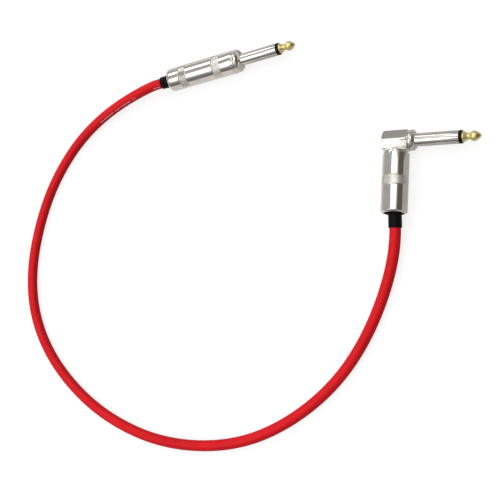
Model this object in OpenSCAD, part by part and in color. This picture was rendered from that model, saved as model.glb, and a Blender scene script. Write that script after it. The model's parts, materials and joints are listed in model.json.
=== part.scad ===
// Instrument cable: a short guitar lead with a straight plug on one end and a
// right-angle plug on the other, lying in one open loop on a flat surface.
// Each plug is a turned shaft and body with a barrel that unscrews to the rear.
//
// Frame: +Z up, z = 0 is the surface the cable lies on, +X is the way the
// right-angle plug's shaft points, and the origin is the bottom centre of the
// box around the two plugs.

/* [Cable] */
// Outer diameter of the cable's jacket
cable_d = 5.6; // [5.2:0.1:5.6]
// Outer diameter of the clear insulation around the signal wire
insulation_d = 2.2; // [1.8:0.1:2.2]
// Diameter of the bare signal wire
wire_d = 0.8; // [0.5:0.1:0.8]

/* [Plug shaft] */
// Diameter of the quarter-inch plug shaft
shaft_d = 6.35; // [6.25:0.05:6.35]
// Length of the nickel sleeve in front of the plug's seat
sleeve_len = 20.9; // [19:0.1:21]
// Length of the black ring between sleeve and tip
ring_len = 1.5; // [1.4:0.1:2.5]
// Length of the gold tip
tip_len = 8.6; // [8.4:0.1:9.2]
// Diameter of the ball of the tip
ball_d = 4.9; // [4.8:0.1:5.2]

/* [Straight plug] */
// Direction that the straight plug points, in degrees from +X
straight_heading = 9; // [6:1:12]
// Diameter of the straight plug's barrel
straight_d = 12.5; // [12.4:0.1:13]
// Distance from the seat to the barrel's rear end
straight_rear = 45; // [45:0.2:49]
// Length of the domed nut in front of the barrel
nut_len = 4.3; // [4:0.1:5]
// Diameter of the hole in the barrel's rear end
straight_hole_d = 8.4; // [8:0.1:9]
// Rounding of the barrel's rear edge
straight_round = 2.8; // [1:0.1:3]

/* [Right-angle plug] */
// Diameter of the right-angle plug's barrel
angled_d = 13; // [13:0.1:13.6]
// Distance from the shaft's axis to the barrel's rear end
angled_rear = 35.4; // [35:0.1:36]
// Distance from the barrel's axis to the seat
seat_reach = 9.7; // [9:0.1:10]
// Width of the hexagonal head across its flats
hex_flats = 9.8; // [9.6:0.1:10]
// Diameter of the hole in the barrel's rear end
angled_hole_d = 10; // [9.6:0.1:10]

/* [Screw barrels] */
// Distance that each barrel moves back before its thread lets go
travel = 6; // [4:1:6]
// Thread pitch
pitch = 1; // [1:0.5:1]
// Length of a knurled grip band
band_len = 4.4; // [4:0.1:4.6]

/* [Hidden] */
$fn = 64;

red = [0.78, 0.05, 0.09];
black = [0.06, 0.06, 0.06];
nickel = [0.72, 0.70, 0.67];
gold = [0.86, 0.66, 0.24];
clear = [0.85, 0.88, 0.86];
copper = [0.72, 0.40, 0.22];
solder = [0.62, 0.63, 0.65];
fibre = [0.45, 0.22, 0.12];

cable_r = cable_d / 2;
shaft_r = shaft_d / 2;
straight_r = straight_d / 2;
angled_r = angled_d / 2;

// Fits: turning pieces have a running clearance, staked ones a hair
run_gap = 0.05;
hair = 0.02;
seam = 0.04;

// Seat centres of the two plugs, and the axis of the right-angle barrel
straight_seat = [-39, 42.9, straight_r];
angled_seat = [59.1, -8.5, angled_r];
barrel_x = -seat_reach;

// Bores shared by both plugs
rod_r = 1.2;
tube_r = 2.28;
stake_r = 2.9;
plate = 0.6;
insulation_len = 3.4;
thread_depth = 0.45;
spigot_lead = 1.1;
spigot_face = 4.4;
rivet_r = 1.75;
rivet_len = 0.7;
washer_len = 0.8;
ring_r = 2.4;
braid_r = 0.58;
claw_gap = 1.4;

// Straight plug, measured along its axis from the seat, to the rear negative
nut_back = -nut_len;
body_back = nut_back - travel - spigot_lead;
thread_r = 5.2;
clamp_x = -31.5;
clamp_len = 4;
jacket_x = -25;
straight_wall = 3.6;
collar_tail = 6;
straight_collar_len = 14.6;
bands = [-37.2, -16.2];
tag_z = 1.9;
strip_top = -2.9;
straight_core = [jacket_x + 0.1, 0, 0];
straight_joint = [-14.8, 0, 1.35];
straight_braid = [jacket_x + 0.1, 0, -1.75];
straight_ground = [-20.8, 0, -2.25];

// Right-angle plug, measured down its barrel from the shaft's axis
barrel_top = 6.3;
spigot_end = barrel_top + travel + spigot_lead;
angled_thread_r = 5.4;
cavity_r = 3.3;
jacket_u = 24;
angled_wall = 2.2;
angled_band = 17.7;
hex_back = -6.4;
hex_front = 6.5;
hex_corner_r = hex_flats / 2 / cos(30);
strip_back = -8.2;
angled_core = [0, 0, jacket_u - 0.1];
angled_joint = [0.95, 0, 16.2];
angled_braid = [-1.75, 0, jacket_u - 0.15];
angled_ground = [-2.5, 0, 20.8];

// Cable route: centre points chosen along the open loop. The first ones lie on
// the straight plug's axis, the last ones inside the right-angle barrel.
route_loop = [
    [-121.5, 25, 4.8], [-143, 11, 3.3], [-157, -6, 2.8],
    [-166.5, -24.5, 2.8], [-172, -45, 2.8], [-174.5, -65.5, 2.8],
    [-172.5, -86, 2.8], [-165, -105, 2.8], [-153, -121.5, 2.8],
    [-137.5, -135.5, 2.8], [-120, -147, 2.8], [-101.5, -155, 2.8],
    [-82, -160.5, 2.8], [-61, -162.5, 2.8], [-40, -161, 2.8],
    [-20.5, -156, 2.8], [-2, -146.5, 2.8], [15, -133.5, 2.8],
    [29, -117.5, 2.8], [39.5, -98, 2.8], [46, -79, 3], [49, -65, 3.7]];
route_exit = [
    [49.8, -57, 4.5], [50, -50.9, 5.2], [49.7, -43.5, 5.9],
    [49.4, -37.5, 6.5], [49.4, -32.5, 6.5]];
function on_straight_axis(back) = straight_seat
    - back * [cos(straight_heading), sin(straight_heading), 0];
route = concat([for (back = [25, 31, 38.5, 46, 53, 59]) on_straight_axis(back)],
    route_loop, route_exit);

// Smooth curve through the route: a uniform cubic B-spline, two rings a span
rings_per_span = 2;
cable_sides = 10;
function route_at(i) = i < 0 ? 2 * route[0] - route[1]
    : i >= len(route) ? 2 * route[len(route) - 1] - route[len(route) - 2]
    : route[i];
function spline(i, t) = (pow(1 - t, 3) * route_at(i - 1)
    + (3 * pow(t, 3) - 6 * t * t + 4) * route_at(i)
    + (3 * t * t + 3 * t + 1 - 3 * pow(t, 3)) * route_at(i + 1)
    + pow(t, 3) * route_at(i + 2)) / 6;
function unit(v) = v / norm(v);
centres = [for (i = [0 : len(route) - 2], k = [0 : rings_per_span - 1])
        spline(i, k / rings_per_span), spline(len(route) - 2, 1)];
ring_count = len(centres);
function heading_of(i) = unit(centres[min(i + 1, ring_count - 1)]
    - centres[max(i - 1, 0)]);

// One ring of points of radius r around centre i, upright in the world
function ring(i, r) = let (
        forward = heading_of(i),
        side = unit(cross(forward, [0, 0, 1])),
        up = cross(side, forward))
    [for (k = [0 : cable_sides - 1]) let (a = 360 * k / cable_sides - 90)
        centres[i] + r * (cos(a) * side + sin(a) * up)];

// Solid rod swept over the rings from first to last
module swept_rod(first, last, r) {
    n = cable_sides;
    spans = last - first;
    points = [for (i = [first : last]) each ring(i, r)];
    sides = [for (i = [0 : spans - 1], k = [0 : n - 1])
        let (a = i * n + k, b = i * n + (k + 1) % n)
            each [[a, b, b + n], [a, b + n, a + n]]];
    start_cap = [[for (k = [0 : n - 1]) n - 1 - k]];
    end_cap = [[for (k = [0 : n - 1]) spans * n + k]];
    polyhedron(points = points, faces = concat(sides, start_cap, end_cap));
}

// Hollow tube swept over the same rings
module swept_tube(first, last, r_out, r_in) {
    n = cable_sides;
    spans = last - first;
    half = (spans + 1) * n;
    points = [for (r = [r_out, r_in], i = [first : last]) each ring(i, r)];
    walls = [for (i = [0 : spans - 1], k = [0 : n - 1])
        let (a = i * n + k, b = i * n + (k + 1) % n)
            each [[a, b, b + n], [a, b + n, a + n],
                [half + b, half + a, half + b + n],
                [half + b + n, half + a, half + a + n]]];
    rims = [for (k = [0 : n - 1])
        let (b = (k + 1) % n, e = spans * n)
            each [[b, k, half + k], [b, half + k, half + b],
                [e + k, e + b, half + e + b], [e + k, half + e + b, half + e + k]]];
    polyhedron(points = points, faces = concat(walls, rims));
}

module straight_plug() {
    translate(straight_seat) rotate([0, 0, straight_heading]) children();
}

module angled_plug() {
    translate(angled_seat) children();
}

// Right-angle barrel: local +Z runs down the barrel, local +Y is up
module angled_down() {
    angled_plug() translate([barrel_x, 0, 0]) rotate([90, 0, 0]) children();
}

// Piece turned about the X axis from a profile of [radius, x] points
module turned(profile) {
    rotate([0, 90, 0]) rotate_extrude() polygon(profile);
}

module tube_x(x0, x1, r_out, r_in) {
    difference() {
        translate([x0, 0, 0]) rotate([0, 90, 0]) cylinder(h = x1 - x0, r = r_out);
        translate([x0 - 1, 0, 0]) rotate([0, 90, 0])
            cylinder(h = x1 - x0 + 2, r = r_in);
    }
}

module tube_z(z0, z1, r_out, r_in) {
    difference() {
        translate([0, 0, z0]) cylinder(h = z1 - z0, r = r_out);
        translate([0, 0, z0 - 1]) cylinder(h = z1 - z0 + 2, r = r_in);
    }
}

// Turns local +Z to point from a to b, with its origin on a
module aimed(a, b) {
    d = b - a;
    translate(a) rotate([0, acos(d.z / norm(d)), atan2(d.y, d.x)]) children();
}

module rod_between(a, b, r) {
    aimed(a, b) cylinder(h = norm(b - a), r = r);
}

// Clear insulation over the start of the signal wire that runs from a to b
module insulation_between(a, b) {
    aimed(a, b) tube_z(0.1, insulation_len, insulation_d / 2, wire_d / 2 + hair);
}

// Points of a V thread on a profile, from x0 back over the barrel's travel
function thread_profile(x0, crest) = [for (k = [0 : floor(travel / pitch) - 1]) each [
    [crest, x0 - k * pitch],
    [crest, x0 - (k + 0.3) * pitch],
    [crest - thread_depth, x0 - (k + 0.65) * pitch]]];

function reversed(list) = [for (i = [1 : len(list)]) list[len(list) - i]];

function arc(cx, cy, r, a0, a1, steps = 8) = [for (k = [0 : steps])
    let (a = a0 + (a1 - a0) * k / steps) [cx + r * cos(a), cy + r * sin(a)]];

// ---- pieces that both plugs share, in a frame with the seat at the origin

// Gold tip: flange cone, neck, ball and nose cone on a rod that runs to the rear
module tip_contact(rod_back) {
    x0 = sleeve_len + ring_len;
    neck_r = 1.5;
    flange_r = 2.65;
    ball_r = ball_d / 2;
    ball_x = x0 + 5;
    end_r = 0.9;
    turned(concat(
        [[0, rod_back], [rivet_r, rod_back], [rivet_r, rod_back + rivet_len],
            [rod_r, rod_back + rivet_len], [rod_r, x0], [flange_r, x0], [flange_r, x0 + 0.5],
            [neck_r, x0 + 2.6], [neck_r, x0 + 3.5]],
        [[ball_r - 0.5, x0 + 4.3], [ball_r, ball_x], [ball_r, ball_x + 0.6],
            [ball_r - 0.35, ball_x + 1.4]],
        arc(0, x0 + tip_len - end_r, end_r, 35, 90, 4)));
}

// Black ring in front of the sleeve, with its tube through the sleeve
module insulator(back) {
    difference() {
        turned([[0, back], [tube_r, back], [tube_r, sleeve_len],
            [shaft_r, sleeve_len], [shaft_r, sleeve_len + ring_len],
            [0, sleeve_len + ring_len]]);
        translate([back - 1, 0, 0]) rotate([0, 90, 0])
            cylinder(h = sleeve_len + ring_len - back + 2, r = rod_r + hair);
    }
}

// Nickel sleeve, with a thinner tail that is staked in the plug's body
module sleeve(back) {
    tube_x(0, sleeve_len, shaft_r, tube_r + hair);
    tube_x(back, 0, stake_r, tube_r + hair);
}

// Bore for the sleeve through a plug's body
module sleeve_bore(back) {
    translate([back, 0, 0]) rotate([0, 90, 0])
        cylinder(h = 1 - back, r = stake_r + hair);
}

// ---- straight plug

module straight_tip() {
    color(gold) straight_plug() tip_contact(body_back - washer_len - 2 * plate - rivet_len);
}

module straight_insulator() {
    color(black) straight_plug() insulator(body_back - plate);
}

module straight_sleeve() {
    color(nickel) straight_plug() sleeve(body_back);
}

// Domed nut and threaded spigot that the barrel screws on
module straight_body() {
    nut_r = straight_r - 0.1;
    groove_x = nut_back + 0.5;
    color(nickel) straight_plug() difference() {
        turned(concat([[0, body_back], [thread_r - thread_depth, body_back]],
            reversed(thread_profile(nut_back, thread_r)),
            [[nut_r, nut_back], [nut_r, groove_x], [nut_r - 0.5, groove_x + 0.2],
                [nut_r - 0.5, groove_x + 0.5], [nut_r, groove_x + 0.7]],
            arc(nut_r - 2.4, -2.4, 2.4, 0, 90), [[0, 0]]));
        sleeve_bore(body_back - 1);
    }
}

// Ring staked behind the body, strip to the rear, and two claws on the jacket
module straight_ground_lug() {
    strip_w = 3.4;
    color(nickel) straight_plug() {
        tube_x(body_back - plate, body_back, spigot_face, tube_r + hair);
        translate([clamp_x - 1, -strip_w / 2, strip_top - plate])
            cube([body_back - clamp_x + 1 - plate / 2, strip_w, plate]);
        difference() {
            tube_x(clamp_x, clamp_x + clamp_len, cable_r + plate, cable_r + 2 * hair);
            translate([clamp_x - 1, -claw_gap / 2, 0]) cube([clamp_len + 2, claw_gap, 4]);
        }
    }
}

module straight_washer() {
    color(fibre) straight_plug()
        tube_x(body_back - plate - washer_len, body_back - plate, 2.85, rod_r + hair);
}

// Signal tag riveted behind the washer
module straight_tip_lug() {
    x0 = body_back - plate - washer_len;
    color(nickel) straight_plug() {
        tube_x(x0 - plate, x0, ring_r, rod_r + hair);
        translate([x0 - 5, -1, tag_z]) cube([5, 2, 0.5]);
    }
}

module straight_wire() {
    color(copper) straight_plug() rod_between(straight_core, straight_joint, wire_d / 2);
}

module straight_wire_insulation() {
    color(clear) straight_plug() insulation_between(straight_core, straight_joint);
}

// Braid gathered and twisted, from the jacket's end to the ground strip
module straight_shield_tail() {
    color(copper) straight_plug() rod_between(straight_braid, straight_ground, braid_r);
}

module straight_tip_solder() {
    color(solder) straight_plug() difference() {
        translate([-16.3, 0, 1.25]) sphere(r = 1);
        rod_between(straight_core, straight_joint, wire_d / 2 + hair);
        translate([-19, -1.5, tag_z]) cube([8, 3, 0.5]);
    }
}

module straight_ground_solder() {
    color(solder) straight_plug() difference() {
        translate([-21.4, 0, -2.3]) sphere(r = 1);
        rod_between(straight_braid, straight_ground, braid_r + hair);
        translate([-30, -2, strip_top - plate]) cube([20, 4, plate]);
    }
}

// Black shrink sleeve on the cable where it leaves the barrel
module straight_collar() {
    color(black) straight_plug()
        tube_x(-straight_rear - collar_tail, -straight_rear - collar_tail
            + straight_collar_len, cable_r + plate, cable_r + hair);
}

// Insulating tube inside the barrel, carried back with it
module straight_liner() {
    color(clear) straight_plug()
        tube_x(-straight_rear + straight_wall + seam, body_back - plate - 0.2,
            thread_r + run_gap - 0.1, 4.75);
}

// Barrel: threaded bore in front, rounded rear end with the cable's hole
module straight_barrel() {
    bore_r = thread_r + run_gap;
    hole_r = straight_hole_d / 2;
    round_r = straight_round;
    color(nickel) straight_plug() difference() {
        turned(concat([[bore_r, nut_back - seam], [bore_r, -straight_rear + straight_wall],
                [hole_r, -straight_rear + straight_wall], [hole_r, -straight_rear]],
            arc(straight_r - round_r, -straight_rear + round_r, round_r, -90, 0),
            [[straight_r, nut_back - seam]]));
        for (x = bands, edge = [0, band_len]) translate([x + edge, 0, 0])
            turned([[straight_r - 0.25, 0], [straight_r + 1, -0.25],
                [straight_r + 1, 0.25]]);
    }
}

// ---- right-angle plug

module angled_tip() {
    color(gold) angled_plug() tip_contact(strip_back - rivet_len);
}

module angled_insulator() {
    color(black) angled_plug() insulator(-6.2);
}

module angled_sleeve() {
    color(nickel) angled_plug() sleeve(-6.2);
}

// Hexagonal head with a domed nose and the threaded spigot for the barrel
module angled_head() {
    nose_r = 5.1;
    shoulder_len = 0.5;
    dome_r = 1.7;
    dome_len = 1.9;
    color(nickel) angled_plug() difference() {
        union() {
            intersection() {
                translate([barrel_x + hex_back, 0, 0]) rotate([0, 90, 0])
                    cylinder(h = hex_front - hex_back, r = hex_corner_r, $fn = 6);
                turned([[0, barrel_x + hex_back], [4.4, barrel_x + hex_back],
                    [hex_corner_r + 0.1, barrel_x + hex_back + 0.6],
                    [hex_corner_r + 0.1, barrel_x + hex_front - 0.6],
                    [4.4, barrel_x + hex_front], [0, barrel_x + hex_front]]);
            }
            turned(concat([[0, barrel_x + hex_front - 0.3],
                    [4.5, barrel_x + hex_front - 0.3],
                    [4.5, barrel_x + hex_front + 0.15],
                    [nose_r, barrel_x + hex_front + 0.45]],
                [for (p = arc(0, 0, 1, 0, 90))
                    [nose_r + dome_r * (p.x - 1), dome_len * (p.y - 1)]],
                [[0, 0]]));
            translate([barrel_x, 0, 0]) rotate([90, 0, 0]) {
                cylinder(h = barrel_top, r = 4.4);
                translate([0, 0, hex_flats / 2 - 0.1])
                    cylinder(h = barrel_top - hex_flats / 2 + 0.1 - seam, r = 4.9);
                translate([0, 0, barrel_top - seam - shoulder_len])
                    cylinder(h = shoulder_len, r = 6.1);
                angled_spigot();
            }
        }
        sleeve_bore(-8);
        translate([barrel_x + hex_back - 1, 0, 0]) rotate([0, 90, 0])
            cylinder(h = -6.2 - barrel_x - hex_back + 1, r = cavity_r);
        translate([barrel_x, 0, 0]) rotate([90, 0, 0])
            cylinder(h = spigot_end + 1, r = cavity_r);
    }
}

// Male thread below the head, local +Z down the barrel
module angled_spigot() {
    top = barrel_top - 0.2;
    root_r = angled_thread_r - thread_depth;
    mirror([0, 0, 1]) rotate_extrude() polygon(concat([[0, -top], [root_r, -top]],
        thread_profile(-barrel_top, angled_thread_r),
        [[root_r, -spigot_end], [0, -spigot_end]]));
}

// Disc that closes the head behind the riveted rod
module angled_end_cap() {
    color(nickel) angled_plug() turned([[0, barrel_x + hex_back],
        [cavity_r - hair, barrel_x + hex_back],
        [cavity_r - hair, barrel_x + hex_back + 1.4], [0, barrel_x + hex_back + 1.4]]);
}

module angled_washer() {
    color(fibre) angled_plug() tube_x(-7.6, -6.2, 3.2, rod_r + hair);
}

// Riveted ring with a strip that turns down into the barrel
module angled_tip_strip() {
    strip_end = 20.8;
    color(nickel) angled_plug() {
        tube_x(strip_back, strip_back + plate, ring_r, rod_r + hair);
        translate([strip_back, -strip_end, -1]) cube([plate, strip_end - 1.9, 2]);
    }
}

// Ring under the spigot, strip to the rear, and two claws on the jacket
module angled_ground_lug() {
    strip_x = -3.5;
    claw_u = 24.8;
    claw_len = 3.2;
    color(nickel) angled_down() {
        tube_z(spigot_end, spigot_end + plate, 4.7, cavity_r);
        translate([strip_x - 0.3, -1.7, spigot_end + plate / 2])
            cube([plate, 3.4, claw_u + claw_len - spigot_end]);
        difference() {
            tube_z(claw_u, claw_u + claw_len, 3.5, cable_r + 2 * hair);
            translate([0, -claw_gap / 2, claw_u - 1]) cube([5, claw_gap, claw_len + 2]);
        }
    }
}

module angled_wire() {
    color(copper) angled_down() rod_between(angled_core, angled_joint, wire_d / 2);
}

module angled_wire_insulation() {
    color(clear) angled_down() insulation_between(angled_core, angled_joint);
}

module angled_shield_tail() {
    color(copper) angled_down() rod_between(angled_braid, angled_ground, braid_r);
}

module angled_tip_solder() {
    color(solder) difference() {
        angled_down() translate([1.1, 0, 17.6]) sphere(r = 0.95);
        angled_down() rod_between(angled_core, angled_joint, wire_d / 2 + hair);
        angled_plug() translate([strip_back, -22, -1.5]) cube([plate, 20, 3]);
    }
}

module angled_ground_solder() {
    color(solder) angled_down() difference() {
        translate([-2.5, 0, 21.2]) sphere(r = 1);
        rod_between(angled_braid, angled_ground, braid_r + hair);
        translate([-3.8, -2, 14]) cube([plate, 4, 14]);
    }
}

// Black shrink sleeve that follows the cable's bend out of the barrel
module angled_collar() {
    color(black) swept_tube(ring_count - 1 - 3 * rings_per_span,
        ring_count - 1 - rings_per_span, cable_r + 0.5, cable_r + hair);
}

module angled_liner() {
    color(clear) angled_down()
        tube_z(spigot_end + plate + 0.2, angled_rear - angled_wall - seam,
            angled_thread_r + run_gap - 0.1, 4.95);
}

module angled_barrel() {
    bore_r = angled_thread_r + run_gap;
    hole_r = angled_hole_d / 2;
    chamfer = 0.7;
    color(nickel) angled_down() difference() {
        rotate_extrude() polygon([[bore_r, barrel_top],
            [bore_r, angled_rear - angled_wall], [hole_r, angled_rear - angled_wall],
            [hole_r, angled_rear], [angled_r - chamfer, angled_rear],
            [angled_r, angled_rear - chamfer], [angled_r, barrel_top]]);
        for (edge = [0, band_len]) translate([0, 0, angled_band + edge])
            rotate_extrude() polygon([[angled_r - 0.25, 0], [angled_r + 1, -0.25],
                [angled_r + 1, 0.25]]);
    }
}

// ---- cable

module cable_jacket() {
    color(red) swept_rod(0, ring_count - 1, cable_r);
}

cable_jacket();
straight_tip();
straight_insulator();
straight_sleeve();
straight_body();
straight_ground_lug();
straight_washer();
straight_tip_lug();
straight_wire();
straight_wire_insulation();
straight_shield_tail();
straight_tip_solder();
straight_ground_solder();
straight_collar();
straight_liner();
straight_barrel();
angled_tip();
angled_insulator();
angled_sleeve();
angled_head();
angled_end_cap();
angled_washer();
angled_tip_strip();
angled_ground_lug();
angled_wire();
angled_wire_insulation();
angled_shield_tail();
angled_tip_solder();
angled_ground_solder();
angled_collar();
angled_liner();
angled_barrel();
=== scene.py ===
"""Looks of the instrument cable: turned, knurled plugs and a red jacket."""

import json
import math

import bmesh
import bpy
from mathutils import Matrix, Vector


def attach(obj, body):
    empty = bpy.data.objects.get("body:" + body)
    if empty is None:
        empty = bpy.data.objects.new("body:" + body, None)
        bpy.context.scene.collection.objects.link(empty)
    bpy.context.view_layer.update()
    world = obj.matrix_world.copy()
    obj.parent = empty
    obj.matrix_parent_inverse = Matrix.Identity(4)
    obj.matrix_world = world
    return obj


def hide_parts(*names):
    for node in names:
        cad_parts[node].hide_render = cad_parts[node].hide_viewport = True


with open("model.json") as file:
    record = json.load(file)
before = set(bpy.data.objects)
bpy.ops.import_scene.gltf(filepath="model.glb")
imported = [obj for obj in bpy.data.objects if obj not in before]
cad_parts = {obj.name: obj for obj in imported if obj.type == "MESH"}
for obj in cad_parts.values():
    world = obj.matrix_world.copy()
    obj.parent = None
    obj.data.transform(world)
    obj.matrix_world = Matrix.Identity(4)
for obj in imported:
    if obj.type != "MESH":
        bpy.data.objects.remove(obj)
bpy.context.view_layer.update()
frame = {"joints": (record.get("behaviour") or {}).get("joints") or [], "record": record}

MM = 0.001
UP = Vector((0, 0, 1))

# ------------------------------------------------------ frames of the two plugs

mounts = {m["name"]: m for m in frame["record"]["mounts"]}
joints = {j["name"]: j for j in frame["joints"]}


def plug_frame(origin, forward):
    """Matrix whose +X is forward and whose +Z is up."""
    forward = Vector(forward).normalized()
    left = UP.cross(forward)
    turn = Matrix((forward, left, UP)).transposed().to_4x4()
    return Matrix.Translation(Vector(origin)) @ turn


def seat_of(mount):
    """Point where a plug's shaft leaves its body."""
    axis = Vector(mount["axis"])
    return Vector(mount["pos_m"]) - axis * mount["dims"]["length_mm"] * MM / 2


straight = plug_frame(
    seat_of(mounts["straight_shaft"]), mounts["straight_shaft"]["axis"]
)
angled = plug_frame(seat_of(mounts["angled_shaft"]), mounts["angled_shaft"]["axis"])
down = plug_frame(
    joints["angled_screw"]["pos_m"], -Vector(joints["angled_screw"]["axis"])
)

# ----------------------------------------------------------------------- camera

LOOK_AT = Vector((-30.5, -59.6, 0)) * MM
CAMERA_DISTANCE = 470 * MM
CAMERA_TILT = math.radians(29.2)
CAMERA_SIDE = math.radians(-18.3)
CAMERA_TURN = math.radians(1.52)
FOCAL_LENGTH = 64.8

camera_data = bpy.data.cameras.new("camera")
camera_data.lens = FOCAL_LENGTH
camera_data.clip_start = 0.01
camera = bpy.data.objects.new("camera", camera_data)
bpy.context.scene.collection.objects.link(camera)
tilt_axis = Vector((-math.sin(CAMERA_SIDE), math.cos(CAMERA_SIDE), 0))
look = (
    Matrix.Rotation(CAMERA_TURN, 3, "Z") @ Matrix.Rotation(CAMERA_TILT, 3, tilt_axis)
)
camera.matrix_world = (
    Matrix.Translation(LOOK_AT + look @ UP * CAMERA_DISTANCE) @ look.to_4x4()
)
bpy.context.scene.camera = camera
bpy.context.scene.view_settings.view_transform = "Standard"

# ----------------------------------------------------------------- node helpers


class Nodes:
    """Adds nodes to one material's or world's tree and links them."""

    def __init__(self, owner):
        owner.use_nodes = True
        self.tree = owner.node_tree
        self.tree.nodes.clear()

    def add(self, kind, **values):
        node = self.tree.nodes.new(kind)
        for key, value in values.items():
            setattr(node, key, value)
        return node

    def feed(self, socket, value):
        if isinstance(value, bpy.types.NodeSocket):
            self.tree.links.new(value, socket)
        elif value is not None:
            socket.default_value = value

    def math(self, operation, a, b=None):
        node = self.add("ShaderNodeMath", operation=operation)
        self.feed(node.inputs[0], a)
        self.feed(node.inputs[1], b)
        return node.outputs[0]

    def plus(self, a, b):
        return self.math("ADD", a, b)

    def times(self, a, b):
        return self.math("MULTIPLY", a, b)

    def ramp(self, value, low, high, out_low=0.0, out_high=1.0):
        """Smooth step from out_low at low to out_high at high."""
        node = self.add("ShaderNodeMapRange", interpolation_type="SMOOTHSTEP")
        for socket, v in zip(node.inputs, (value, low, high, out_low, out_high)):
            self.feed(socket, v)
        return node.outputs[0]

    def mix(self, factor, a, b):
        node = self.add("ShaderNodeMix", data_type="RGBA")
        self.feed(node.inputs[0], factor)
        self.feed(node.inputs[6], a)
        self.feed(node.inputs[7], b)
        return node.outputs[2]

    def coordinate(self, kind):
        return self.add("ShaderNodeTexCoord").outputs[kind]

    def split(self, vector):
        """The three numbers of a vector."""
        node = self.add("ShaderNodeSeparateXYZ")
        self.feed(node.inputs[0], vector)
        return node.outputs

    def noise(self, per_mm, detail, rough=0.5):
        """Noise in object space, with per_mm cells a millimetre on all axes or each."""
        if not isinstance(per_mm, tuple):
            per_mm = (per_mm,) * 3
        place = self.add("ShaderNodeMapping")
        self.feed(place.inputs["Vector"], self.coordinate("Object"))
        place.inputs["Scale"].default_value = [s / MM for s in per_mm]
        node = self.add("ShaderNodeTexNoise")
        self.feed(node.inputs["Vector"], place.outputs[0])
        self.feed(node.inputs["Scale"], 1.0)
        self.feed(node.inputs["Detail"], detail)
        self.feed(node.inputs["Roughness"], rough)
        return node.outputs[0]

    def bump(self, height, distance_mm, strength):
        node = self.add("ShaderNodeBump")
        self.feed(node.inputs["Height"], height)
        self.feed(node.inputs["Distance"], distance_mm * MM)
        self.feed(node.inputs["Strength"], strength)
        return node.outputs[0]

    def surface(self, **inputs):
        node = self.add("ShaderNodeBsdfPrincipled")
        for key, value in inputs.items():
            self.feed(node.inputs[key.replace("_", " ")], value)
        out = self.add("ShaderNodeOutputMaterial")
        self.tree.links.new(node.outputs[0], out.inputs[0])


def rgb(r, g, b):
    return (r, g, b, 1.0)


# -------------------------------------------------------------------- materials


def turned_metal(name, color, dull, rough, grain=0.05):
    """Metal with turning lines round its X axis and duller, rougher smudges."""
    material = bpy.data.materials.new(name)
    n = Nodes(material)
    lines = n.noise((6.0, 0.05, 0.05), 3.0, 0.6)
    smudge = n.noise(0.16, 4.0, 0.6)
    specks = n.noise(3.0, 2.0)
    tangent = n.add("ShaderNodeTangent", direction_type="RADIAL", axis="X")
    n.surface(
        Base_Color=n.mix(n.ramp(smudge, 0.42, 0.75), color, dull),
        Metallic=1.0,
        Roughness=n.ramp(smudge, 0.3, 0.8, rough * 0.7, rough * 1.5),
        Anisotropic=0.25,
        Tangent=tangent.outputs[0],
        Normal=n.bump(n.plus(lines, n.times(specks, 0.3)), 0.02, grain * 4),
    )
    return material


def plastic(
    name, color, other, rough, grain_mm, bump_mm, coat=0.0, clear=0.0, shine=0.3
):
    """Moulded or extruded plastic with slight tone changes and fine grain."""
    material = bpy.data.materials.new(name)
    n = Nodes(material)
    cloud = n.noise(0.12, 4.0, 0.6)
    fine = n.noise(1 / grain_mm, 3.0, 0.6)
    n.surface(
        Base_Color=n.mix(n.ramp(cloud, 0.35, 0.7), color, other),
        Roughness=n.ramp(fine, 0.2, 0.8, rough * 0.8, rough * 1.2),
        Specular_IOR_Level=shine,
        Coat_Weight=coat,
        Coat_Roughness=0.15,
        Transmission_Weight=clear,
        Normal=n.bump(fine, bump_mm, 0.6),
    )
    return material


# The row of dashes, measured along the jacket from its cut end in the straight plug.
# Its place and half width round the jacket are parts of one turn.
DASH_STEP = 2.7 * MM
DASH_SPANS = ((27 * MM, 31.5 * MM), (44.5 * MM, 73 * MM))
DASH_TURN = 0.424
DASH_HALF_WIDTH = 0.021


def dashes(n):
    """How much of the pale mark shows at each spot of the jacket."""
    route_map = n.add("ShaderNodeUVMap", uv_map="route").outputs[0]
    along, round_it, _ = n.split(route_map)
    filled = n.ramp(n.noise(0.3, 0.0), 0.35, 0.65, 0.4, 0.95)
    step = n.math("FRACT", n.math("DIVIDE", along, DASH_STEP))
    off_row = n.math("ABSOLUTE", n.math("SUBTRACT", round_it, DASH_TURN))
    inside = 0.0
    for start, end in DASH_SPANS:
        past = n.math("GREATER_THAN", along, start)
        before = n.math("LESS_THAN", along, end)
        inside = n.plus(n.times(past, before), inside)
    mark = n.times(n.math("LESS_THAN", step, filled), inside)
    mark = n.times(mark, n.math("LESS_THAN", off_row, DASH_HALF_WIDTH))
    return n.times(mark, n.ramp(n.noise(1.1, 2.0, 0.6), 0.3, 0.55, 0.5, 1.0))


def jacket_vinyl():
    """Red extruded vinyl, with plain dashes where the real jacket is printed."""
    material = bpy.data.materials.new("jacket_red")
    n = Nodes(material)
    cloud = n.noise(0.05, 4.0, 0.6)
    fine = n.noise(5.0, 3.0, 0.6)
    ripple = n.noise(0.35, 2.0)
    red = n.mix(
        n.ramp(cloud, 0.35, 0.7), rgb(0.97, 0.010, 0.018), rgb(0.86, 0.007, 0.014)
    )
    n.surface(
        Base_Color=n.mix(dashes(n), red, rgb(1.0, 0.44, 0.50)),
        Roughness=n.ramp(fine, 0.2, 0.8, 0.42, 0.56),
        Specular_IOR_Level=0.2,
        Normal=n.bump(n.plus(n.times(fine, 0.25), ripple), 0.05, 0.5),
    )
    return material


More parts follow.
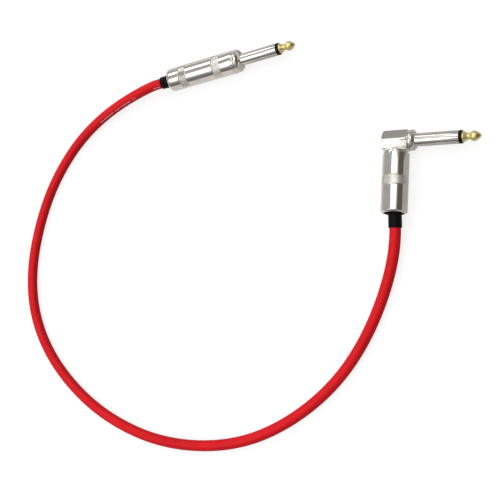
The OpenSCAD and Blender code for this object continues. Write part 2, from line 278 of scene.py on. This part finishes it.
paint = {
    "jacket_red": jacket_vinyl(),
    "nickel": turned_metal(
        "nickel", rgb(0.76, 0.73, 0.68), rgb(0.69, 0.66, 0.61), 0.12, 0.03
    ),
    "gold": turned_metal("gold", rgb(1.0, 0.84, 0.39), rgb(1.0, 0.77, 0.30), 0.33),
    "black_plastic": plastic(
        "black_plastic", rgb(0.002, 0.002, 0.0025), rgb(0.004, 0.004, 0.0045), 0.3,
        0.4, 0.01, coat=0.05, shine=0.15,
    ),
    "shrink_black": plastic(
        "shrink_black", rgb(0.0022, 0.0022, 0.0045), rgb(0.004, 0.004, 0.0065), 0.5,
        0.5, 0.04, shine=0.12,
    ),
    "clear_plastic": plastic(
        "clear_plastic", rgb(0.78, 0.82, 0.80), rgb(0.70, 0.74, 0.71), 0.30,
        0.6, 0.02, clear=0.55,
    ),
    "copper": turned_metal(
        "copper", rgb(0.80, 0.42, 0.24), rgb(0.52, 0.24, 0.12), 0.22, 0.12
    ),
    "solder": turned_metal(
        "solder", rgb(0.62, 0.63, 0.65), rgb(0.46, 0.47, 0.49), 0.32, 0.1
    ),
    "fibre": plastic(
        "fibre", rgb(0.20, 0.065, 0.030), rgb(0.13, 0.040, 0.018), 0.7, 0.25, 0.03
    ),
}

# ----------------------------------------------------------------- mesh helpers


FILLET_SHARE = 0.48  # the most of an outline's side that one corner's fillet takes
SHARP_ANGLE = math.radians(35)


def rounded(points, steps=4):
    """Outline of (x, radius, fillet) corners with each corner rounded in steps."""
    out = []
    for i, corner in enumerate(points):
        p = Vector(corner[:2])
        fillet = corner[2] if len(corner) > 2 else 0
        if not fillet or i in (0, len(points) - 1):
            out.append((p.x, p.y, 0))
            continue
        before, after = Vector(points[i - 1][:2]) - p, Vector(points[i + 1][:2]) - p
        start = p + before.normalized() * min(fillet, before.length * FILLET_SHARE)
        end = p + after.normalized() * min(fillet, after.length * FILLET_SHARE)
        for k in range(steps + 1):
            t = k / steps
            q = start * (1 - t) ** 2 + p * 2 * t * (1 - t) + end * t * t
            out.append((q.x, q.y, 0))
    return out


def finish_mesh(name, bm, place, body, slot, replaces):
    """Turns a bmesh into a shown piece that rides on a body."""
    bmesh.ops.recalc_face_normals(bm, faces=bm.faces)
    mesh = bpy.data.meshes.new(name)
    bm.to_mesh(mesh)
    bm.free()
    mesh.shade_smooth()
    mesh.set_sharp_from_angle(angle=SHARP_ANGLE)
    piece = bpy.data.objects.new(name, mesh)
    bpy.context.scene.collection.objects.link(piece)
    piece.matrix_world = place
    mesh.materials.append(paint[slot])
    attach(piece, body)
    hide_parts(*replaces)
    return piece


def turned_ring(bm, x, radius, mark, segments, shape):
    """Ring of vertices about the X axis, or a single one on the axis."""
    if radius == 0:
        return [bm.verts.new((x * MM, 0, 0))]
    ring = []
    for k in range(segments):
        turn = 2 * math.pi * k / segments
        r = (shape(x, radius, turn, mark) if shape else radius) * MM
        ring.append(bm.verts.new((x * MM, r * math.cos(turn), r * math.sin(turn))))
    return ring


def turned_face(bm, corners):
    """Face between two rings, cut along its lower diagonal where it isn't flat."""
    if len(corners) < 4:
        bm.faces.new(corners)
        return
    a, b, c, d = corners
    height = [corner.co.yz.length for corner in corners]
    rise = height[0] + height[2] - height[1] - height[3]
    if abs(rise) < 1e-8:
        bm.faces.new(corners)
    elif rise < 0:
        bm.faces.new([a, b, c])
        bm.faces.new([a, c, d])
    else:
        bm.faces.new([a, b, d])
        bm.faces.new([b, c, d])


def lathe(name, outline, place, body, slot, replaces, segments=128, shape=None):
    """Closed piece turned about the X axis, from (x, radius, mark) points.

    shape(x, radius, turn, mark) gives the radius at a turn. An outline that starts on
    the axis ends on it too; any other is closed into a ring.
    """
    bm = bmesh.new()
    rings = [
        turned_ring(bm, *(*point, 0)[:3], segments, shape) for point in outline
    ]
    pairs = list(zip(rings, rings[1:]))
    if len(rings[0]) > 1:
        pairs.append((rings[-1], rings[0]))
    for a, b in pairs:
        for k in range(segments):
            j = (k + 1) % segments
            corners = [a[k % len(a)], a[j % len(a)], b[j % len(b)], b[k % len(b)]]
            turned_face(bm, list(dict.fromkeys(corners)))
    return finish_mesh(name, bm, place, body, slot, replaces)


def wave(t):
    """0 at whole numbers and 1 half way between them."""
    t = t - math.floor(t)
    return 1 - abs(2 * t - 1)


KNURL_DEPTH = 0.18
KNURL_COUNT = 52
KNURL_ROWS = 4
END_GROOVE_DEPTH = 0.22
BARREL_SEGMENTS = KNURL_COUNT * KNURL_ROWS


def knurled(x, radius, turn, mark):
    """Diamond knurl where mark holds the diamond's length along the axis."""
    if not mark:
        return radius
    u, v = KNURL_COUNT * turn / (2 * math.pi), x / mark
    return radius - KNURL_DEPTH * (1 - min(wave(u + v), wave(u - v)))


def knurl_rows(x0, x1, radius):
    """Outline of a knurled band from x0 back to x1, with a groove at each end."""
    count = round((x0 - x1) * KNURL_COUNT / (2 * math.pi * radius))
    pitch = (x0 - x1) / count
    groove = radius - END_GROOVE_DEPTH
    edge = [(0.45, radius), (0.32, radius, 0.1), (0.26, groove, 0.1),
            (0.06, groove, 0.1), (0, radius - KNURL_DEPTH)]
    return (
        rounded([(x0 + x, *rest) for x, *rest in edge])
        + [(x0 - pitch * k / KNURL_ROWS, radius, pitch)
           for k in range(1, count * KNURL_ROWS)]
        + rounded([(x1 - x, *rest) for x, *rest in reversed(edge)])
    )


THREAD_PITCH = 1.0
THREAD_DEPTH = 0.45
THREAD_ROWS = 8
THREAD_FLANK = 1.25  # above 1, the thread has flat crests


def threaded(x, radius, turn, mark):
    """Right-hand V thread where mark is set."""
    if not mark:
        return radius
    phase = wave(x / THREAD_PITCH - turn / (2 * math.pi))
    return radius - THREAD_DEPTH * (1 - min(1, phase * THREAD_FLANK))


def thread_rows(x0, x1, radius):
    """Outline of a threaded length from x0 back to x1, without its ends."""
    count = round((x0 - x1) / THREAD_PITCH * THREAD_ROWS)
    step = (x0 - x1) / count
    return [(x0 - step * k, radius, 1) for k in range(1, count)]


# ------------------------------------------------------------------------ cable

# The route starts on the straight plug's axis, this many mm behind its seat.
PLUG_BACK = (25, 31, 38.5, 46, 53, 59)
# Then it follows this loop in metres, down to the surface and up to the other plug.
ROUTE_LOOP = (
    (-0.1215, 0.025, 0.0048), (-0.143, 0.011, 0.0033), (-0.157, -0.006, 0.0028),
    (-0.1665, -0.0245, 0.0028), (-0.172, -0.045, 0.0028), (-0.1745, -0.0655, 0.0028),
    (-0.1725, -0.086, 0.0028), (-0.165, -0.105, 0.0028), (-0.153, -0.1215, 0.0028),
    (-0.1375, -0.1355, 0.0028), (-0.12, -0.147, 0.0028), (-0.1015, -0.155, 0.0028),
    (-0.082, -0.1605, 0.0028), (-0.061, -0.1625, 0.0028), (-0.04, -0.161, 0.0028),
    (-0.0205, -0.156, 0.0028), (-0.002, -0.1465, 0.0028), (0.015, -0.1335, 0.0028),
    (0.029, -0.1175, 0.0028), (0.0395, -0.098, 0.0028), (0.046, -0.079, 0.003),
    (0.049, -0.065, 0.0037), (0.0498, -0.057, 0.0045), (0.05, -0.0509, 0.0052),
    (0.0497, -0.0435, 0.0059), (0.0494, -0.0375, 0.0065), (0.0494, -0.0325, 0.0065),
)
route = [straight @ Vector((-back * MM, 0, 0)) for back in PLUG_BACK]
route += [Vector(p) for p in ROUTE_LOOP]
SPANS = len(route) - 1
CABLE_R = 2.8
RINGS_PER_SPAN = 12
CABLE_SIDES = 48


def route_at(t):
    """Point at t, 0 to SPANS, of the uniform cubic B-spline that the route guides."""
    points = [2 * route[0] - route[1], *route, 2 * route[-1] - route[-2]]
    i = min(int(t), SPANS - 1)
    f = t - i
    a, b, c, d = points[i : i + 4]
    return (
        a * (1 - f) ** 3
        + b * (3 * f**3 - 6 * f * f + 4)
        + c * (3 * f * f + 3 * f + 1 - 3 * f**3)
        + d * f**3
    ) / 6


def sweep(name, stations, slot, replaces):
    """Tube along the route through (t, radius in mm) stations, with a UV map.

    Returns the piece and the points of its middle line.
    """
    bm = bmesh.new()
    uv = bm.loops.layers.uv.new("route")
    centres = [route_at(t) for t, _ in stations]
    along, total = [0.0], 0.0
    for a, b in zip(centres, centres[1:]):
        total += (b - a).length
        along.append(total)
    rings = []
    for i, (t, radius) in enumerate(stations):
        ahead = route_at(min(t + 0.02, SPANS)) - route_at(max(t - 0.02, 0))
        forward = ahead.normalized()
        side = forward.cross(UP).normalized()
        over = side.cross(forward)
        ring = []
        for k in range(CABLE_SIDES):
            turn = 2 * math.pi * k / CABLE_SIDES
            offset = side * math.cos(turn) + over * math.sin(turn)
            ring.append(bm.verts.new(centres[i] + offset * radius * MM))
        rings.append(ring)

    def skin(a, b, s0, s1):
        for k in range(CABLE_SIDES):
            j = (k + 1) % CABLE_SIDES
            face = bm.faces.new((a[k], a[j], b[j], b[k]))
            spots = ((s0, k), (s0, k + 1), (s1, k + 1), (s1, k))
            for loop, (s, turn) in zip(face.loops, spots):
                loop[uv].uv = (s, turn / CABLE_SIDES)

    for i in range(len(rings) - 1):
        skin(rings[i], rings[i + 1], along[i], along[i + 1])
    if stations[0] == stations[-1]:
        bmesh.ops.remove_doubles(bm, verts=rings[0] + rings[-1], dist=1e-7)
    else:
        bm.faces.new(list(reversed(rings[0])))
        bm.faces.new(rings[-1])
    piece = finish_mesh(name, bm, Matrix.Identity(4), "cable", slot, replaces)
    return piece, centres


jacket_stations = [
    (k / RINGS_PER_SPAN, CABLE_R) for k in range(SPANS * RINGS_PER_SPAN + 1)
]
jacket, jacket_path = sweep(
    "red_jacket", jacket_stations, "jacket_red", ["cable_jacket"]
)

# ------------------------------------------------------------------ plug pieces

SHAFT_R = 3.175
SLEEVE_LEN = 20.9
RING_END = 22.4
TIP_END = 31.0
ROD_R = 1.2
TUBE_R = 2.28
TAIL_R = 2.9
SLIP = 0.02  # between the rod, the tube round it and the sleeve round both


def tip_outline(rod_back):
    """Riveted rod through the shaft, then flange cone, neck, ball and blunt nose."""
    x = RING_END
    return [(rod_back, 0)] + rounded(
        [(rod_back, 0.3), (rod_back, 1.75, 0.3), (rod_back + 0.7, 1.75, 0.2),
         (rod_back + 0.7, ROD_R), (x, ROD_R), (x, 2.65, 0.12), (x + 0.5, 2.65, 0.2),
         (x + 2.5, 1.5, 0.6), (x + 3.5, 1.5, 0.6), (x + 4.2, 2.15, 0.5),
         (x + 4.9, 2.45, 0.6), (x + 5.8, 2.45, 0.7), (x + 6.8, 2.05, 0.7),
         (x + 8.0, 1.15, 0.6), (TIP_END, 0.5, 0.35), (TIP_END, 0.1)], 6
    ) + [(TIP_END, 0)]


def shaft_pieces(plug, place, rod_back, tube_back, tail_back):
    """Gold tip, black ring with its tube, and nickel sleeve of one plug."""
    lathe(
        f"{plug}_gold_tip", tip_outline(rod_back), place, "cable", "gold",
        [f"{plug}_tip"], 96,
    )
    lathe(
        f"{plug}_black_ring",
        rounded([(tube_back, ROD_R + SLIP), (tube_back, TUBE_R), (SLEEVE_LEN, TUBE_R),
                 (SLEEVE_LEN, SHAFT_R, 0.08), (RING_END, SHAFT_R, 0.2),
                 (RING_END, ROD_R + SLIP)]),
        place, "cable", "black_plastic", [f"{plug}_insulator"],
    )
    lathe(
        f"{plug}_nickel_sleeve",
        rounded([(tail_back, TUBE_R + SLIP), (tail_back, TAIL_R), (0, TAIL_R),
                 (0, SHAFT_R), (6, SHAFT_R), (12, SHAFT_R),
                 (SLEEVE_LEN, SHAFT_R, 0.14), (SLEEVE_LEN, TUBE_R + SLIP)]),
        place, "cable", "nickel", [f"{plug}_sleeve"],
    )


shaft_pieces("straight", straight, -14.1, -12.0, -11.4)
shaft_pieces("angled", angled, -8.9, -6.2, -6.2)

NUT_BACK = -4.3
SPIGOT_BACK = -11.4
STRAIGHT_R = 6.25
STRAIGHT_BORE = 5.25
STRAIGHT_HOLE = 4.2
STRAIGHT_FRONT = NUT_BACK - 0.04
STRAIGHT_REAR = -45.0
COLLAR_BORE = 2.84

nut = rounded(
    [(0.0, 3.18), (0.0, 3.6, 0.1), (-0.25, 4.1, 0.3), (-0.75, 4.95, 0.6),
     (-1.4, 5.75, 0.6), (-2.2, 6.1, 0.6), (-2.75, 6.1, 0.2), (-3.0, 5.92, 0.25),
     (-3.3, 5.92, 0.25), (-3.55, 6.15, 0.2), (NUT_BACK, 6.15, 0.12), (NUT_BACK, 5.0)]
)
lathe(
    "straight_domed_nut",
    nut
    + thread_rows(NUT_BACK - 0.3, SPIGOT_BACK + 0.4, 5.2)
    + rounded([(SPIGOT_BACK + 0.3, 4.75), (SPIGOT_BACK, 4.5, 0.1), (SPIGOT_BACK, 3.0)]),
    straight, "cable", "nickel", ["straight_body"], 160, threaded,
)

lathe(
    "straight_knurled_barrel",
    rounded([(STRAIGHT_FRONT, STRAIGHT_BORE + 0.05), (STRAIGHT_FRONT, STRAIGHT_R, 0.18),
             (-9, STRAIGHT_R)])
    + knurl_rows(-11.8, -16.2, STRAIGHT_R)
    + [(-22, STRAIGHT_R, 0), (-28, STRAIGHT_R, 0)]
    + knurl_rows(-32.8, -37.2, STRAIGHT_R)
    + [(-39.2, STRAIGHT_R, 0)]
    + rounded([(-40.7, STRAIGHT_R), (STRAIGHT_REAR, STRAIGHT_R, 2.9),
               (STRAIGHT_REAR, STRAIGHT_HOLE, 0.25), (-41.5, STRAIGHT_HOLE, 0.1),
               (-41.4, STRAIGHT_BORE, 0.1), (-20, STRAIGHT_BORE),
               (NUT_BACK - 0.3, STRAIGHT_BORE),
               (STRAIGHT_FRONT, STRAIGHT_BORE + 0.05)], 8),
    straight, "straight_barrel", "nickel", ["straight_barrel"],
    BARREL_SEGMENTS, knurled,
)

lathe(
    "straight_shrink_collar",
    rounded([(-51, COLLAR_BORE), (-51, 3.34, 0.15), (-49.4, 3.38), (-47.6, 3.4),
             (-46.2, 3.37), (-41.4, 3.36), (-36.4, 3.36, 0.2),
             (-36.4, COLLAR_BORE)]),
    straight, "cable", "shrink_black", ["straight_collar"], 96,
)

# ------------------------------------------------------------- right-angle head

HEX_FLAT = 4.9
HEX_EDGE = 5.598  # the bar's edges are rounded off at this radius
AXIS_X = -9.7  # where the barrel's axis crosses the shaft's


def hexed(x, radius, turn, mark):
    """Hexagonal bar with an edge on top, never wider than the turned outline."""
    if not mark:
        return radius
    off = (turn + math.pi / 6) % (math.pi / 3) - math.pi / 6
    return min(radius, HEX_FLAT / math.cos(off), HEX_EDGE)


def hex_head():
    """Outline from the closed back end to the seat, in the shaft's frame."""
    back, front = AXIS_X - 6.4, AXIS_X + 6.5
    bar = [
        (back, 4.4, 1), (back + 0.15, 4.75, 1), (back + 0.35, 5.15, 1),
        (back + 0.6, 5.7, 1), (AXIS_X - 3, 5.7, 1), (AXIS_X, 5.7, 1),
        (AXIS_X + 3, 5.7, 1), (front - 0.6, 5.7, 1), (front - 0.35, 5.15, 1),
        (front - 0.15, 4.75, 1), (front, 4.45, 1),
    ]
    nose = rounded(
        [(front + 0.03, 4.4), (front + 0.15, 4.45, 0.06), (front + 0.45, 5.02, 0.12),
         (front + 0.7, 5.1, 0.1), (-1.9, 5.1, 0.3), (-1.2, 4.97, 0.3),
         (-0.6, 4.6, 0.3), (-0.2, 4.1, 0.25), (0, 3.5, 0.1), (0, 3.0)], 5
    )
    return [(back, 3.3, 0)] + bar + nose


lathe(
    "angled_hex_head", hex_head(),
    angled, "cable", "nickel", ["angled_head"], 180, hexed,
)
lathe(
    "angled_threaded_spigot",
    rounded([(-4.6, 3.3), (-4.6, 4.5), (-4.85, 4.85, 0.1), (-5.76, 4.9, 0.2),
             (-5.8, 6.05, 0.12), (-6.26, 6.1, 0.08), (-6.26, 5.0)])
    + thread_rows(-6.6, -13.0, 5.4)
    + rounded([(-13.1, 4.95), (-13.4, 4.6, 0.1), (-13.4, 3.3)]),
    down, "cable", "nickel", ["angled_head"], 160, threaded,
)

ANGLED_R = 6.5
ANGLED_BORE = 5.45
ANGLED_HOLE = 5.0
ANGLED_FRONT = -6.3
ANGLED_REAR = -35.4

lathe(
    "angled_knurled_barrel",
    rounded([(ANGLED_FRONT, ANGLED_BORE + 0.05), (ANGLED_FRONT, ANGLED_R, 0.2),
             (-10, ANGLED_R)])
    + knurl_rows(-17.7, -22.1, ANGLED_R)
    + [(-27, ANGLED_R, 0), (-31, ANGLED_R, 0)]
    + rounded([(-34, ANGLED_R), (ANGLED_REAR + 0.7, ANGLED_R, 0.25),
               (ANGLED_REAR, ANGLED_R - 0.75, 0.2), (ANGLED_REAR, ANGLED_HOLE, 0.15),
               (-33.2, ANGLED_HOLE), (-33.15, ANGLED_BORE), (-20, ANGLED_BORE),
               (ANGLED_FRONT - 0.4, ANGLED_BORE),
               (ANGLED_FRONT, ANGLED_BORE + 0.05)], 6),
    down, "angled_barrel", "nickel", ["angled_barrel"], BARREL_SEGMENTS, knurled,
)

# ---------------------------------------------------- shrink collar on the bend

COLLAR_FROM, COLLAR_TO = SPANS - 3, SPANS - 1
COLLAR_STEPS = 24
COLLAR_R = 3.27

collar_steps = [
    COLLAR_FROM + (COLLAR_TO - COLLAR_FROM) * k / COLLAR_STEPS
    for k in range(COLLAR_STEPS + 1)
]
outside = (
    [(COLLAR_FROM, COLLAR_R - 0.15), (COLLAR_FROM + 0.03, COLLAR_R - 0.03)]
    + [(t, COLLAR_R) for t in collar_steps[1:-1]]
    + [(COLLAR_TO - 0.03, COLLAR_R - 0.03), (COLLAR_TO, COLLAR_R - 0.15)]
)
bore = [(t, COLLAR_BORE) for t in reversed(collar_steps)]
sweep(
    "angled_shrink_collar", outside + bore + outside[:1],
    "shrink_black", ["angled_collar"],
)

# --------------------------------------------------- inner pieces kept from CAD

KEPT = {
    "nickel": ("straight_ground_lug", "straight_tip_lug", "angled_end_cap",
               "angled_tip_strip", "angled_ground_lug"),
    "clear_plastic": ("straight_liner", "angled_liner", "straight_wire_insulation",
                      "angled_wire_insulation"),
    "copper": ("straight_wire", "angled_wire", "straight_shield_tail",
               "angled_shield_tail"),
    "solder": ("straight_tip_solder", "straight_ground_solder", "angled_tip_solder",
               "angled_ground_solder"),
    "fibre": ("straight_washer", "angled_washer"),
}
for slot, names in KEPT.items():
    for name in names:
        node = bpy.data.objects[name]
        node.data.materials.clear()
        node.data.materials.append(paint[slot])

# -------------------------------------------------------------- floor and light

STAGE_SIZE = 15.0


def stage_plane(name, height):
    """Level plane of the set, with its own material tree to fill in."""
    bm = bmesh.new()
    bmesh.ops.create_grid(bm, x_segments=8, y_segments=8, size=STAGE_SIZE)
    mesh = bpy.data.meshes.new(name)
    bm.to_mesh(mesh)
    bm.free()
    plane = bpy.data.objects.new(name, mesh)
    plane.location.z = height
    bpy.context.scene.collection.objects.link(plane)
    material = bpy.data.materials.new(name)
    mesh.materials.append(material)
    return plane, Nodes(material)


floor, n = stage_plane("floor", 0.0)
floor.visible_glossy = False
floor.visible_diffuse = False
n.surface(
    Base_Color=rgb(0.3, 0.3, 0.3), Roughness=0.9,
    Emission_Color=rgb(1, 1, 1), Emission_Strength=0.80,
)

# The metal mirrors this unseen card in place of the floor. Its brightness is painted
# light and shade of the floor: painted shade under the straight plug, to the right and
# just behind the angled barrel, painted light to the left, past the middle and further
# back. The steps in its brightness are (0 for X or 1 for Y, start and end in metres,
# change).
CARD_LEVEL = 0.74
CARD_STEPS = (
    (0, -0.05, -0.03, -0.26),
    (0, 0.0, 0.025, 0.40),
    (0, 0.03, 0.065, -0.42),
    (1, 0.036, 0.047, -0.24),
    (1, 0.055, 0.09, 0.50),
)
card, n = stage_plane("floor_card", -0.0001)
card.visible_camera = False
card.visible_diffuse = False
card.visible_shadow = False
place = n.split(n.coordinate("Object"))
glow = CARD_LEVEL
for axis, start, end, change in CARD_STEPS:
    glow = n.plus(n.ramp(place[axis], start, end, 0.0, change), glow)
n.surface(
    Base_Color=rgb(0, 0, 0), Roughness=1.0,
    Emission_Color=rgb(1.0, 0.985, 0.96), Emission_Strength=glow,
)

# The studio's walls are grey, darker towards the camera, far off by the floor and below
# it, with a dark brown card on the right.
WALL_LEVEL = 0.46
NEAR_CHANGE = -0.27
FAR_CHANGE = -0.15
BELOW_SHARE = 0.25
world = bpy.data.worlds.new("studio")
bpy.context.scene.world = world
n = Nodes(world)
along_x, along_y, along_z = n.split(n.coordinate("Generated"))
right_card = n.times(
    n.ramp(along_x, 0.56, 0.70),
    n.times(n.ramp(along_z, -0.02, 0.04), n.ramp(along_z, 0.80, 0.70)),
)
near_side = n.times(n.ramp(along_y, -0.5, -0.85), n.ramp(along_z, 0.55, 0.35))
far_band = n.times(n.ramp(along_y, 0.72, 0.9), n.ramp(along_z, 0.32, 0.12))
level = n.plus(n.times(near_side, NEAR_CHANGE), WALL_LEVEL)
level = n.plus(n.times(far_band, FAR_CHANGE), level)
level = n.times(level, n.ramp(along_z, -0.12, 0.0, BELOW_SHARE, 1.0))
grey = n.add("ShaderNodeCombineColor")
for socket in grey.inputs:
    n.feed(socket, level)
dark = n.mix(right_card, grey.outputs[0], rgb(0.13, 0.118, 0.10))
background = n.add("ShaderNodeBackground")
n.feed(background.inputs[0], dark)
out = n.add("ShaderNodeOutputWorld")
n.tree.links.new(background.outputs[0], out.inputs[0])

SUBJECT = Vector((0.015, 0.015, 0.0))
SOFTBOX_DISTANCE = 1.2


def softbox(name, toward, width, height, radiance):
    """Rectangular light that faces the plugs, with its width kept level."""
    light = bpy.data.lights.new(name, "AREA")
    light.shape = "RECTANGLE"
    light.size, light.size_y = width, height
    light.energy = radiance * math.pi * width * height
    lamp = bpy.data.objects.new(name, light)
    bpy.context.scene.collection.objects.link(lamp)
    back = Vector(toward).normalized()
    side = UP.cross(back).normalized()
    turn = Matrix((side, back.cross(side), back)).transposed().to_4x4()
    lamp.matrix_world = Matrix.Translation(SUBJECT + back * SOFTBOX_DISTANCE) @ turn


softbox("light_over", (0.15, 0.22, 0.96), 0.95, 0.62, 1.45)
softbox("light_near", (-0.34, -0.38, 0.86), 0.62, 0.80, 1.55)
softbox("light_far", (-0.54, 0.52, 0.66), 0.46, 0.32, 2.6)
softbox("light_back", (-0.21, 0.67, 0.70), 0.20, 0.54, 1.25)
